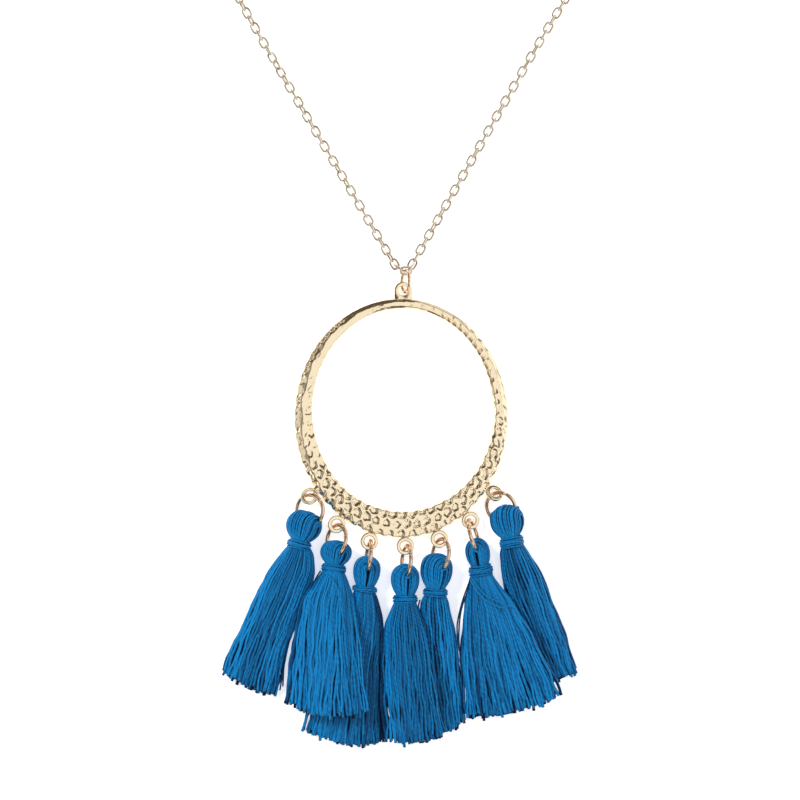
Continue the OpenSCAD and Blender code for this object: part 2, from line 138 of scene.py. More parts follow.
# Each skirt's left edge and right edge from the wrap to the end, and the middle
# of its end, in the photo's pixels
EDGES = [
    [[(287, 547), (268, 572), (252, 606), (238, 634), (222, 671)],
     [(313, 549), (315, 575), (303, 606), (288, 644), (276, 694)], (249, 687)],
    [[(322, 573), (304, 596), (297, 625), (291, 661), (285, 700)],
     [(345, 575), (353, 596), (357, 628), (362, 664), (368, 709)], (327, 714)],
    [[(354, 593), (340, 622), (325, 658), (312, 692), (300, 728)],
     [(375, 592), (383, 618), (382, 655), (382, 695), (386, 741)], (345, 743)],
    [[(394, 603), (386, 622), (384, 655), (385, 692), (388, 738)],
     [(416, 604), (424, 626), (431, 662), (437, 698), (445, 733)], (415, 742)],
    [[(421, 600), (419, 625), (420, 660), (422, 695), (425, 732)],
     [(447, 598), (453, 622), (458, 655), (461, 687), (465, 719)], (446, 731)],
    [[(470, 578), (466, 600), (463, 625), (461, 660), (464, 715)],
     [(492, 576), (512, 602), (528, 628), (545, 660), (561, 692)], (514, 712)],
    [[(500, 549), (502, 577), (510, 605), (524, 640), (540, 684)],
     [(524, 546), (541, 574), (552, 602), (564, 634), (577, 671)], (560, 680)],
]
# Single threads that lie loose: tassel, tone, height over the skirt, and points. The tone is painted shade
# and light: low for the threads that lie under the skirt, high for those over it
LOOSE = [
    (0, 0.1, -2, [(296, 600), (289, 640), (286, 650), (284, 664), (283, 686)]),
    (0, 0.1, -2, [(300, 600), (291, 632), (285, 660), (280, 690)]),
    (1, 1.15, 1.7, [(324, 571), (333, 578), (338, 588), (342, 609), (345, 630)]),
    (1, 0.1, -1, [(321, 570), (317, 576), (311, 588)]),
    (2, 0.1, -0.6, [(375, 596), (381, 608), (384, 628), (383, 655), (384, 690), (387, 735)]),
    (2, 0.15, -0.6, [(377, 600), (383, 640), (381, 680), (388, 725)]),
    (4, 0.2, -0.5, [(420, 599), (418, 606), (421, 616)]),
    (5, 0.1, -1.5, [(470, 579), (462, 600), (456, 626), (459, 650)]),
    (5, 0.15, -1.5, [(471, 581), (460, 610), (458, 640), (462, 670)]),
    (5, 1.2, 1.9, [(470, 579), (476, 590), (483, 598), (491, 603), (501, 607)]),
    (5, 1.1, 1.8, [(471, 577), (479, 589), (487, 596), (498, 601), (509, 606)]),
    (6, 0.15, -1, [(553, 606), (566, 640), (571, 654), (574, 668)]),
]

# Dents, in mm: how many in a row, radius, depth, the share of a pit that its floor
# takes, the radius by which they close up inwards, and for each row the share of
# the band's width from its outer edge and the step from there
DENTS, DENT_R, DENT_DEPTH, DENT_FLOOR, DENT_TURN_R = 60, 1.28, 0.3, 0.4, 31
DENT_ROWS = [(0, 0.75), (0.5, 0), (1, -0.8)]
# Two rows of nicks, along the inner edge at the upper right and the outer edge at
# the upper left: how many would go round, spacing, first and last angle
NICK_ROWS = [(82, 1.95, 14, 68), (101, 1.84, 120, 164)]
NICK_L, NICK_W, NICK_INSET, NICK_DEPTH, NICK_FLOOR, NICK_FADE = 0.88, 0.72, 0.5, 0.5, 0.3, 8
# How far the band's edges give way at each dent
EDGE_WAVE = 0.1
# Points of the band's mesh: round the hoop, over its face, up a wall and over its back
HOOP_STEPS, FACE_STEPS, WALL_STEPS, BACK_STEPS = 1290, 46, 6, 6
# How much thicker than in the CAD model these wires are drawn, as the photo shows them
LUG_DRAWN, BAIL_DRAWN, LINK_DRAWN = 1.2, 1.15, 1.2
# The bail ring's thicker wire is lifted by this, off the ground
BAIL_LIFT = BAIL_WIRE * 0.08
# A lug's stem: half height at the hole, how much it swells, its width to its height, drop
STEM_R, STEM_SWELL, STEM_WIDE, STEM_DROP = 0.42, 0.4, 1.5, 0.35
# Where round their rings the seams are, in degrees
RING_SEAM_AT, BAIL_SEAM_AT = 60, 100
# The tab's edges are rounded off by this
TAB_SOFT = 0.06
# The chain's legs, left and right: the first link in the photo's pixels and the slant in
# degrees. A leg keeps to the photo for PHOTO_L and to the CAD model after twice that
PHOTO_LEGS = {-1: (394.6, 264.5, 30.66), 1: (412.3, 264.5, 29.7)}
FIRST_LINK, PHOTO_L = 4.6, 60
# Radii of threads: in a skirt, where it leaves the neck, in a head, lying loose, in a wrap
THREAD_R, ROOT_THREAD_R, HEAD_THREAD_R, LOOSE_THREAD_R, WRAP_R = 0.4, 0.27, 0.29, 0.2, 0.26
# The threads of a skirt leave its neck at this radius
ROOT_R = NECK_R - 0.3
# Spacing of the threads round a skirt's end and round a head
SKIRT_SPACING, HEAD_SPACING = 0.76, 0.52
# Points along a thread of a skirt, of a head, of each half of a head's dome, and of a loose one
SKIRT_STEPS, HEAD_STEPS, DOME_STEPS, LOOSE_STEPS = 30, 46, 26, 40
THREAD_SIDES, COIL_SIDES, COIL_STEPS = 6, 8, 44
# No thread's middle lies lower than this, in a skirt and loose
THREAD_LOW, LOOSE_LOW = 0.42, 0.4
# Share of a skirt's threads that stray from their lock
STRAYS = 0.14
# Layers of threads from the outside in: share of the section and of the outer layer's count
SKIRT_LAYERS = [(1.0, 1.0), (0.9, 0.9), (0.7, 0.62), (0.4, 0.4)]
HEAD_LAYERS = [(1.0, 1.0), (0.86, 0.85), (0.66, 0.6)]
# A head is widest at this share of its length. Its threads keep in from its outline, clear
# of the ring's wire and within a share of its width
WIDEST, HEAD_INSET, HEAD_CLEAR, HEAD_RIM = 0.42, 0.38, 0.3, 0.985
# The painted-shade core's shares: of a head, and of a skirt's width and depth. It is a dark body that stands
# in for the shade deep inside the tassel
SHADE_CORE_HEAD, SHADE_CORE_WIDE, SHADE_CORE_DEEP = 0.6, 0.78, 0.5
# The ply of a thread: length of one twist, and its step from thread to thread
PLY_TWIST, PLY_STEP = 2.6, 0.618
# Seeds of the random draws. Each tassel has its own, counted on from the last
HOOP_SEED, CHAIN_SEED, TASSEL_SEED = 11, 5, 100


def mix(a, b, x):
    return a + (b - a) * x


def ease(x):
    x = np.clip(x, 0, 1)
    return x * x * (3 - 2 * x)


def unit(v):
    return v / np.linalg.norm(v, axis=-1, keepdims=True)


def oval(w, h, a):
    return np.stack([np.cos(a) * w / 2, np.sin(a) * h / 2], -1)


def inner_at(a):
    return oval(OPEN_W, OPEN_H, a)


def outer_at(a):
    return oval(OUT_W, OUT_H, a) + (OUT_X, OUT_Y)


def outward(a):
    return unit(np.stack([np.cos(a) / OUT_W, np.sin(a) / OUT_H], -1))


def beyond(a, reach):
    return outer_at(a) + reach * outward(a) + (0, HOOP_Y)


def course(degrees):
    a = math.radians(degrees)
    return np.array([math.sin(a), -math.cos(a)])


def square_to(v):
    return np.stack([-v[..., 1], v[..., 0]], -1)


def from_pixel(x, y):
    return np.array([(x - PIXEL_X) * PIXEL, HOOP_Y + (PIXEL_Y - y) * PIXEL])


def softened(lines, rounds):
    """Open lines with their corners rounded off, more with every round. Their ends stay."""
    lines = lines.copy()
    for _ in range(rounds):
        lines[..., 1:-1, :] = (lines[..., :-2, :] + 2 * lines[..., 1:-1, :] + lines[..., 2:, :]) / 4
    return lines


def line_lengths(points):
    return np.concatenate([[0], np.cumsum(np.linalg.norm(np.diff(points, axis=0), axis=1))])


def points_at(at, lengths, points):
    """The places at some lengths along a line, whose own points lie at the lengths given."""
    return np.stack([np.interp(at, lengths, column) for column in points.T], -1)


# Meshes. A part is points, quads, one uv a corner and one tone a point. On threads the tone carries both
# random tone and painted shade
def grid_cells(rows, n, closed_rows, closed_n):
    return np.indices((rows if closed_rows else rows - 1, n if closed_n else n - 1))


def grid_faces(rows, n, closed_rows, closed_n):
    i, j = grid_cells(rows, n, closed_rows, closed_n)
    i2, j2 = (i + 1) % rows, (j + 1) % n
    return np.stack([i * n + j, i2 * n + j, i2 * n + j2, i * n + j2], -1).reshape(-1, 4)


def grid_uv(rows, n, closed_rows, closed_n, u=1.0, v=1.0):
    i, j = grid_cells(rows, n, closed_rows, closed_n)
    corners = [np.stack([(j + b) / n * u, (i + a) / rows * v], -1)
               for a, b in ((0, 0), (1, 0), (1, 1), (0, 1))]
    return np.stack(corners, -2).reshape(-1, 2)


def grid(points, closed_rows=False, closed_n=True, u=1.0, v=1.0, tone=1.0):
    rows, n = points.shape[:2]
    return (points.reshape(-1, 3), grid_faces(rows, n, closed_rows, closed_n),
            grid_uv(rows, n, closed_rows, closed_n, u, v), np.full(rows * n, tone))


def tubes(paths, radii, sides, ref, tones):
    """Round tubes along many paths of as many points each: a quarter round each tube faces along ref."""
    count, steps = paths.shape[:2]
    t = unit(np.gradient(paths, axis=1))
    ref = np.broadcast_to(ref, paths.shape)
    a = unit(np.cross(ref, t))
    b = np.cross(t, a)
    theta = np.arange(sides) / sides * TAU
    radii = np.broadcast_to(radii, (count, steps))[:, :, None, None]
    ring = a[:, :, None] * np.cos(theta)[:, None] + b[:, :, None] * np.sin(theta)[:, None]
    points = paths[:, :, None] + radii * ring
    faces = grid_faces(steps, sides, False, True)
    offsets = np.arange(count) * steps * sides
    faces = (faces[None] + offsets[:, None, None]).reshape(-1, 4)
    length = np.linalg.norm(np.diff(paths, axis=1), axis=-1).sum(1)
    uv = np.tile(grid_uv(steps, sides, False, True), (count, 1, 1))
    uv[..., 1] *= (length / PLY_TWIST)[:, None]
    uv[..., 1] += (np.arange(count) * PLY_STEP % 1)[:, None]
    tone = np.repeat(np.broadcast_to(tones, count), steps * sides)
    return points.reshape(-1, 3), faces, uv.reshape(-1, 2), tone


def joined(parts):
    points, faces, uvs, tones, start = [], [], [], [], 0
    for p, f, uv, tone in parts:
        points.append(p)
        faces.append(f + start)
        uvs.append(uv)
        tones.append(tone)
        start += len(p)
    return np.concatenate(points), np.concatenate(faces), np.concatenate(uvs), np.concatenate(tones)


def piece(name, part, material, replaces):
    points, faces, uv, tone = part
    mesh = bpy.data.meshes.new(name)
    mesh.from_pydata(np.asarray(points * MM, dtype=np.float32), [], np.asarray(faces, dtype=np.int32))
    layer = mesh.uv_layers.new(name="UVMap")
    layer.data.foreach_set("uv", uv.astype(np.float32).ravel())
    attribute = mesh.attributes.new("tone", "FLOAT", "POINT")
    attribute.data.foreach_set("value", tone.astype(np.float32))
    mesh.polygons.foreach_set("use_smooth", np.ones(len(faces), dtype=bool))
    mesh.materials.append(material)
    mesh.update()
    made = bpy.data.objects.new(name, mesh)
    bpy.context.scene.collection.objects.link(made)
    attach(made, "root")
    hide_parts(*replaces)


# Materials. Scales of the noises: drift of the metals' colour, their wear, fuzz of thread
DRIFT_SCALE, WEAR_SCALE, FUZZ_SCALE = 260, 9000, 6000
METAL_BUMP, THREAD_BUMP = 0.05 * MM, 0.06 * MM


def new_material(name, color, roughness, metallic=0.0):
    material = bpy.data.materials.new(name)
    material.use_nodes = True
    shader = material.node_tree.nodes["Principled BSDF"]
    shader.inputs["Base Color"].default_value = (*color, 1)
    shader.inputs["Roughness"].default_value = roughness
    shader.inputs["Metallic"].default_value = metallic
    return material, material.node_tree, shader


def add(tree, kind, **values):
    made = tree.nodes.new(kind)
    for key, value in values.items():
        setattr(made, key, value)
    return made


def noise(tree, scale, detail):
    """Noise by the place in the world."""
    place = add(tree, "ShaderNodeNewGeometry")
    made = add(tree, "ShaderNodeTexNoise")
    made.inputs["Scale"].default_value = scale
    made.inputs["Detail"].default_value = detail
    tree.links.new(place.outputs["Position"], made.inputs["Vector"])
    return made.outputs["Fac"]


def sums(tree, operation, *values):
    """A node of arithmetic on outputs of other nodes and plain numbers."""
    made = add(tree, "ShaderNodeMath", operation=operation)
    for socket, value in zip(made.inputs, values):
        if isinstance(value, (int, float)):
            socket.default_value = value
        else:
            tree.links.new(value, socket)
    return made.outputs[0]


def remap(tree, value, from_range, to_range, curve="LINEAR"):
    made = add(tree, "ShaderNodeMapRange", interpolation_type=curve)
    made.inputs["From Min"].default_value, made.inputs["From Max"].default_value = from_range
    made.inputs["To Min"].default_value, made.inputs["To Max"].default_value = to_range
    tree.links.new(value, made.inputs["Value"])
    return made.outputs["Result"]


def tint(tree, shader, amount, first, second):
    """The shader's colour, from the first to the second by an amount."""
    made = add(tree, "ShaderNodeMix", data_type="RGBA")
    made.inputs["A"].default_value = (*first, 1)
    made.inputs["B"].default_value = (*second, 1)
    tree.links.new(amount, made.inputs["Factor"])
    tree.links.new(made.outputs["Result"], shader.inputs["Base Color"])


def emboss(tree, shader, height, strength, distance):
    made = add(tree, "ShaderNodeBump")
    made.inputs["Strength"].default_value = strength
    made.inputs["Distance"].default_value = distance
    tree.links.new(height, made.inputs["Height"])
    tree.links.new(made.outputs["Normal"], shader.inputs["Normal"])


def metal(name, bright, deep, roughness, bump):
    """Plated metal: colour drifts a little between two tints, with fine wear in roughness and bump."""
    material, tree, shader = new_material(name, bright, roughness, 1.0)
    tint(tree, shader, noise(tree, DRIFT_SCALE, 3), bright, deep)
    wear = noise(tree, WEAR_SCALE, 4)
    worn = remap(tree, wear, (0, 1), (roughness * 0.7, roughness * 1.4))
    tree.links.new(worn, shader.inputs["Roughness"])
    emboss(tree, shader, wear, bump, METAL_BUMP)
    return material


def thread(name, light, dark):
    """Twisted thread: the ply runs round it by its uv, and its tone changes from thread to thread. Its colour
    runs from the dark to the light with that tone and with painted shade in the ply's grooves and on the
    thread's sides.
    """
    material, tree, shader = new_material(name, light, 0.6)
    shader.inputs["Specular IOR Level"].default_value = 0.24
    shader.inputs["Sheen Weight"].default_value = 0.04
    shader.inputs["Sheen Roughness"].default_value = 0.4
    shader.inputs["Sheen Tint"].default_value = (0.35, 0.65, 0.95, 1)
    uv = add(tree, "ShaderNodeUVMap", uv_map="UVMap")
    split = add(tree, "ShaderNodeSeparateXYZ")
    tree.links.new(uv.outputs["UV"], split.inputs["Vector"])
    around, along = split.outputs["X"], split.outputs["Y"]
    ply = sums(tree, "SINE", sums(tree, "MULTIPLY", sums(tree, "ADD", around, along), 2 * TAU))
    height = sums(tree, "MULTIPLY_ADD", noise(tree, FUZZ_SCALE, 2), 1.2, ply)
    emboss(tree, shader, height, 0.6, THREAD_BUMP)
    # Painted shade in the grooves of the ply's twist
    shade = remap(tree, ply, (-1, 1), (0.82, 1))
    # Painted shade: the flank of a thread, deep between its neighbours, is painted darker
    facing = sums(tree, "SINE", sums(tree, "MULTIPLY", around, TAU))
    painted_flank_shade = remap(tree, facing, (-0.1, 0.97), (0.02, 1), "SMOOTHSTEP")
    tone = add(tree, "ShaderNodeAttribute", attribute_name="tone").outputs["Fac"]
    amount = sums(tree, "MULTIPLY", sums(tree, "MULTIPLY", shade, tone), painted_flank_shade)
    # The colour runs to the dark as the tone falls and where the painted shade of sides and grooves lies
    tint(tree, shader, amount, dark, light)
    return material


# The hoop
def band_form(angle, column):
    return np.interp(np.degrees(angle) % 360, BAND[:, 0], BAND[:, column], period=360)


def dents(angle, w, width, rng):
    """Depth of the dents at w from the outer edge: pits in rows, each off its place and out of round."""
    rows = len(DENT_ROWS)
    shift = rng.uniform(-0.22, 0.22, (rows, DENTS, 2))
    size = rng.uniform(0.86, 1.1, (rows, DENTS))
    depth = rng.uniform(0.45, 1.1, (rows, DENTS)) * DENT_DEPTH
    phase = rng.uniform(0, TAU, (rows, DENTS, 2))
    outer_pitch = math.pi * (OUT_W + OUT_H) / 2 / DENTS
    deep = np.zeros_like(w)
    for row, (share, step) in enumerate(DENT_ROWS):
        at = width * share + step
        pitch = outer_pitch * (1 - at / DENT_TURN_R)
        shown = band_form(angle, DENT_COLUMN + row)
        # The middle row is weaker where the band is narrow
        if row == 1:
            shown = shown * mix(0.6, 1, ease((width - 4.5) / 1.2))
        turn = angle / TAU * DENTS + row / 2
        for neighbour in (-1, 0, 1):
            c = np.round(turn).astype(int) + neighbour
            pit = row, c % DENTS
            along = (turn - c) * pitch - shift[pit][..., 0]
            across = w - at - shift[pit][..., 1]
            theta = np.arctan2(across, along)
            wide, fine = phase[pit][..., 0], phase[pit][..., 1]
            out = 1 + 0.08 * np.cos(3 * theta + wide) + 0.07 * np.cos(5 * theta + fine)
            reach = np.hypot(along, across) / (DENT_R * size[pit] * out)
            bowl = 1 - ease((reach - DENT_FLOOR) / (1 - DENT_FLOOR)) + 0.1 * np.clip(1 - reach, 0, 1)
            deep = np.maximum(deep, depth[pit] * shown * bowl)
    return deep


def nicks(angle, w, width):
    """Depth of the two close rows of lens-shaped nicks, each in from its own edge."""
    degrees = np.degrees(angle)
    deep = 0
    for (count, pitch, first, last), across in zip(NICK_ROWS, (width - w, w)):
        turn = angle / TAU * count
        reach = np.hypot((turn - np.round(turn)) * pitch / NICK_L, (across - NICK_INSET) / NICK_W)
        window = ease((degrees - first) / NICK_FADE) * ease((last - degrees) / NICK_FADE)
        lens = 1 - ease((reach - NICK_FLOOR) / (1 - NICK_FLOOR))
        deep = np.maximum(deep, NICK_DEPTH * window * lens)
    return deep


def rounded(loops, rounds):
    """Closed lines, one a row, with their corners rounded off."""
    for _ in range(rounds):
        loops = (np.roll(loops, 1, 1) + 2 * loops + np.roll(loops, -1, 1)) / 4
    return loops


def hoop_edges(a):
    """The band's inner and outer edge. Both give way a little at each dent, all but at the top."""
    inner, outer = inner_at(a[:, 0]), outer_at(a[:, 0])
    give = EDGE_WAVE * np.cos(DENTS * a + 0.4 * np.sin(7 * a)) * (1 - ease((np.sin(a) - 0.5) / 0.35))
    across_band = unit(outer - inner)
    return inner + give * across_band, outer - give * across_band


def hoop_band(rng):
    """The band, as a closed section at each step round the opening: inner wall, face, outer wall, back."""
    a = (np.arange(HOOP_STEPS) / HOOP_STEPS * TAU)[:, None]
    inner, outer = hoop_edges(a)
    width = np.linalg.norm(outer - inner, axis=1)[:, None]
    thick = mix(THICK_TOP, THICK_FOOT, (1 - np.sin(a)) / 2)
    # The face falls from two ridges to the edges, and the ridges meander
    meander = 0.09 * np.sin(19 * a + 1) + 0.06 * np.sin(31 * a + 2) + 0.05 * np.sin(57 * a)
    ridge_out, ridge_in = band_form(a, RIDGE_OUT), band_form(a, RIDGE_IN)
    ridge_out = ridge_out + meander * np.clip(1 - ridge_out, 0, 0.85)
    ridge_in = ridge_in + 0.4 * meander * np.clip(1 + ridge_in, 0, 0.85)
    fall_out, fall_in = band_form(a, FALL_OUT), band_form(a, FALL_IN)
    x = (np.arange(FACE_STEPS) + 0.5) / FACE_STEPS * 2 - 1
    down_out = fall_out * np.clip((x - ridge_out) / (1 - ridge_out), 0, 1) ** 1.15
    down_in = fall_in * np.clip((ridge_in - x) / (1 + ridge_in), 0, 1) ** 1.15
    face = thick - down_out - down_in
    up = (np.arange(WALL_STEPS) + 0.3) / WALL_STEPS
    one = np.ones_like(a)
    wall, back = one * np.ones(WALL_STEPS), one * np.linspace(0.96, -0.96, BACK_STEPS)
    xs = np.concatenate([-wall, one * x, wall, back], 1)
    zs = np.concatenate([(thick - fall_in) * up, face, (thick - fall_out) * up[::-1], 0 * back], 1)
    s, zs = rounded((xs + 1) / 2 * width, 3), rounded(zs, 3)
    # The way that the section's surface faces
    ds = np.roll(s, -1, 1) - np.roll(s, 1, 1)
    dz = np.roll(zs, -1, 1) - np.roll(zs, 1, 1)
    length = np.hypot(ds, dz) + 1e-9
    ns, nz = -dz / length, ds / length
    # Dents and nicks run on over both edges and fade out down the walls
    past_out = np.where(s > width * 0.97, np.maximum(thick - fall_out - 0.2 - zs, 0), 0)
    past_in = np.where(s < width * 0.03, np.maximum(thick - fall_in - 0.2 - zs, 0), 0)
    w = width - s - past_out + past_in
    deep = dents(a + 0 * s, w, width + 0 * s, rng)
    deep = np.maximum(deep, nicks(a + 0 * s, w, width)) * ease((zs - 0.1) / 0.6)
    # A faint unevenness of the face
    deep = deep + 0.035 * np.sin(37 * a + 2.1 * s) * np.sin(23 * a - 1.3 * s) * (nz > 0.2)
    s = s - ns * deep
    zs = np.maximum(zs - nz * deep, 0)
    direction = (outer - inner) / width
    points = np.empty(s.shape + (3,))
    points[..., 0] = inner[:, :1] + direction[:, :1] * s
    points[..., 1] = inner[:, 1:] + direction[:, 1:] * s + HOOP_Y
    points[..., 2] = zs
    return grid(points, True, True, 8, 120)


def turned(points, degrees, axis):
    a = math.radians(degrees)
    c, s = math.cos(a), math.sin(a)
    turn = {"x": [[1, 0, 0], [0, c, -s], [0, s, c]], "z": [[c, -s, 0], [s, c, 0], [0, 0, 1]]}[axis]
    return points @ np.array(turn).T


def placed(points, heading, roll, middle):
    return turned(turned(points, roll, "x"), heading, "z") + middle


def wire_ring(r, wire, heading, roll, middle, seam=0.0, seam_at=0.0, sides=20, steps=96, square=1.0):
    """A ring of wire, closed or open at a rounded seam. A square below 1 fills its section out."""
    half = seam / 2 / r
    a = np.linspace(half, TAU - half, steps) if seam else np.arange(steps) / steps * TAU
    a = a + math.radians(seam_at)
    theta = -np.arange(sides) / sides * TAU
    radius = np.full(steps, wire / 2)
    if seam:
        radius = np.concatenate([[0.001, wire * 0.42], radius[2:-2], [wire * 0.42, 0.001]])
        a[1], a[-2] = a[0] + 0.002, a[-1] - 0.002
    round_c = np.sign(np.cos(theta)) * np.abs(np.cos(theta)) ** square
    round_s = np.sign(np.sin(theta)) * np.abs(np.sin(theta)) ** square
    reach = r + radius[:, None] * round_c
    points = np.stack([reach * np.cos(a)[:, None], reach * np.sin(a)[:, None], radius[:, None] * round_s], -1)
    return grid(placed(points, heading, roll, middle), closed_rows=not seam)


def lug_hole(k):
    return beyond(math.radians(HANG[k].angle), LUG_REACH)


def tab_hole():
    return beyond(math.radians(TAB_ANGLE), TAB_REACH)


def lug(k):
    turn = HANG[k].turn
    way = outward(math.radians(HANG[k].angle))
    heading = math.degrees(math.atan2(way[1], way[0]))
    r = (LUG_HOLE + LUG_WIRE) / 2
    middle = np.append(lug_hole(k), LUG_Z)
    eye = wire_ring(r, LUG_WIRE * LUG_DRAWN, heading, turn, middle, steps=72, sides=28, square=0.5)
    # The stem: a round neck that swells into the band
    along = np.linspace(-r + 0.1, -LUG_REACH - BAND_LEFT * 0.2, 12)
    swell = (STEM_R + STEM_SWELL * ease((-along - LUG_REACH + 0.9) / 1.2))[:, None]
    theta = -np.arange(20) / 20 * TAU
    stem = np.stack([along[:, None] + 0 * theta, swell * np.cos(theta) * STEM_WIDE,
                     swell * np.sin(theta) - STEM_DROP], -1)
    return [eye, grid(placed(stem, heading, turn, middle))]


def tab():
    """The flat tab with its hole, as one closed section swept round the hole."""
    place = tab_hole()
    root = TAB_REACH + BAND_TOP / 2
    a = np.arange(72) / 72 * TAU
    half, top, soft = TAB_W / 2, TAB_T / 2, TAB_SOFT
    # Round above the hole, straight-sided below it down into the band
    to_side = half / np.maximum(np.abs(np.cos(a)), 1e-6)
    to_root = root / np.maximum(np.abs(np.sin(a)), 1e-6)
    reach = np.where(np.sin(a) < 0, np.minimum(to_side, to_root), half)

    def ring_at(r, z):
        return np.stack([place[0] + r * np.cos(a), place[1] + r * np.sin(a), TAB_Z + z + 0 * a], -1)

    hole = [(0, -top + soft), (0, top - soft), (soft * 0.3, top - soft * 0.3), (soft, top)]
    rim = [(-soft, top), (-soft * 0.3, top - soft * 0.3), (0, top - soft), (0, -top + soft), (-soft, -top)]
    rings = [ring_at(TAB_HOLE / 2 + inset, z) for inset, z in hole]
    rings += [ring_at(reach + inset, z) for inset, z in rim]
    rings.append(ring_at(TAB_HOLE / 2 + soft, -top))
    return grid(np.stack(rings, 1)[::-1], True, True)


def ring_middle(hole, hole_z, heading, roll, r, wire, slack):
    """The middle of a ring that lies on the ground and goes through a hole, as in the CAD model."""
    h, q = math.radians(heading), math.radians(roll)
    z = r * math.sin(q) + wire / 2
    s = (hole_z - z) / (r * math.sin(q))
    c = math.sqrt(1 - s * s)
    along = np.array([math.cos(h), math.sin(h)])
    aside = np.array([-math.sin(h), math.cos(h)])
    p = hole - (slack + r * c) * along - r * s * math.cos(q) * aside
    return np.array([p[0], p[1], z])


RING_R = (RING_D - RING_WIRE) / 2
BAIL_R = (BAIL_D - BAIL_WIRE) / 2
JUMPS = [ring_middle(lug_hole(k), LUG_Z, heading, roll, RING_R, RING_WIRE, slack * RING_WIRE)
         for k, (_, _, heading, roll, slack) in enumerate(HANG)]
BAIL = ring_middle(tab_hole(), TAB_Z, BAIL_HEADING, BAIL_ROLL, BAIL_R, BAIL_WIRE, 0)


# The chain
def chain_path():
    """Half of the loop as in the CAD model: the apex's x, lengths from the apex on, and the points there."""
    per_radius = 2 / math.tan(LEG_ANGLE) + math.pi + 2 * LEG_ANGLE
    arc_r = CHAIN_L / per_radius
    leg = arc_r / math.tan(LEG_ANGLE)
    turn = (BAIL_WIRE / 2 + LINK_WIRE + GAP) * 1.35
    apex = np.array([BAIL[0], BAIL[1] + BAIL_R - turn / math.sin(LEG_ANGLE)])
    arc_y = apex[1] + arc_r / math.sin(LEG_ANGLE)
    s = np.linspace(0, leg + arc_r * (math.pi / 2 + LEG_ANGLE), 4000)
    a = (s - leg) / arc_r - LEG_ANGLE
    x = np.where(s < leg, s * math.sin(LEG_ANGLE), arc_r * np.cos(a))
    y = np.where(s < leg, apex[1] + np.hypot(s * math.cos(LEG_ANGLE), turn), arc_y + arc_r * np.sin(a))
    z = LINK_W / 2 + 0.12 + (BAIL[2] - LINK_W / 2) * np.exp(-(s / 5) ** 2)
    return apex[0], s, np.stack([x, y, z], -1)


def chain_leg(sign):
    """One leg from its first link on: as the photo shows it, and then as in the CAD model."""
    apex_x, s, cad = chain_path()
    path = cad * (sign, 1, 1) + (apex_x, 0, 0)
    x, y, slant = PHOTO_LEGS[sign]
    way = np.array([sign * math.sin(math.radians(slant)), math.cos(math.radians(slant))])
    photo = from_pixel(x, y) + (s - FIRST_LINK)[:, None] * way
    path[:, :2] = mix(photo, path[:, :2], ease((s - PHOTO_L) / PHOTO_L)[:, None])
    return path[s >= FIRST_LINK]


def link_mesh():
    """A link in its own plane, as rings of points round its wire."""
    straight = (LINK_L - LINK_W) / 2
    bow = (LINK_W - LINK_WIRE) / 2
    t = np.arange(26) / 26 * TAU
    x = bow * np.cos(t) + straight * np.sign(np.cos(t)) * np.minimum(1, 3 * np.abs(np.cos(t)))
    shape = np.stack([x, bow * np.sin(t), 0 * t], -1)
    tangent = unit(np.roll(shape, -1, 0) - np.roll(shape, 1, 0))
    normal = np.stack([tangent[:, 1], -tangent[:, 0], 0 * t], -1)
    theta = (np.arange(8) / 8 * TAU)[:, None]
    section = normal[:, None] * np.cos(theta) + np.array([0, 0, -1.0]) * np.sin(theta)
    return shape[:, None] + section * LINK_WIRE * LINK_DRAWN / 2


def links():
    parts = []
    rng = np.random.default_rng(CHAIN_SEED)
    mesh = link_mesh()

    def link(middle, way, roll):
        side = unit(np.cross([0, 0, 1.0], way))
        up = np.cross(way, side)
        c, q = math.cos(roll), math.sin(roll)
        across, over = side * c + up * q, up * c - side * q
        points = middle + mesh[..., :1] * way + mesh[..., 1:2] * across + mesh[..., 2:] * over
        parts.append(grid(points, True, True, tone=rng.uniform(0.9, 1)))

    for sign in (-1, 1):
        path = chain_leg(sign)
        length = line_lengths(path)
        stop = length[-1] - CLASP_L / 2 - 0.9
        count = int(round(stop / PITCH))
        at = np.arange(count + 1) * stop / count
        middles = points_at(at, length, path)
        ways = unit(points_at(at + 0.8, length, path) - points_at(np.maximum(at - 0.8, 0), length, path))
        # Each link lies square to the one before, and the chain sways to and fro about its length
        turns = rng.normal(0, 0.34, (count + 6) // 3)
        sway = np.interp(np.arange(count + 1), np.arange(0, count + 4, 3), turns)
        for i in range(count + 1):
            roll = (i % 2) * math.pi / 2 + sway[i] + rng.normal(0, 0.07)
            link(middles[i], ways[i], roll)
        # The edge-on link between the last flat link and the one in the bail ring
        top = np.array([BAIL[0] + 0.15, BAIL[1] + BAIL_R - 0.1, BAIL[2]])
        low = middles[0] - ways[0] * 0.3
        gap = mix(top + (sign * 0.75, 0, 0), low, 0.5)
        link(gap, unit(low - top - (sign * 0.3, 0, 0)), math.pi / 2)
    link(np.array([BAIL[0] + 0.15, BAIL[1] + BAIL_R - 0.05, BAIL[2]]), np.array([1.0, 0, 0]), 0.1)
    return joined(parts)


# The tassels
def head_top(k):
    heading = math.radians(HANG[k].heading)
    far = JUMPS[k][:2] - RING_R * np.array([math.cos(heading), math.sin(heading)])
    way = course(HEAD[k].lean)
    cover = RING_WIRE / 2 + HEAD_COVER * (1 + HEAD[k].cover)
    return far - cover * way + HEAD[k].shift * HEAD_W * square_to(way)


def neck_at(k):
    return head_top(k) + HEAD_L * HEAD[k].length * course(HEAD[k].lean)


def wrap_len(k):
    return HEAD[k].turns * WRAP_THREAD


def head_sizes(k):
    """Half of a head's width and of its depth, and its length."""
    return HEAD_W * HEAD[k].width / 2, HEAD_T / 2, HEAD_L * HEAD[k].length


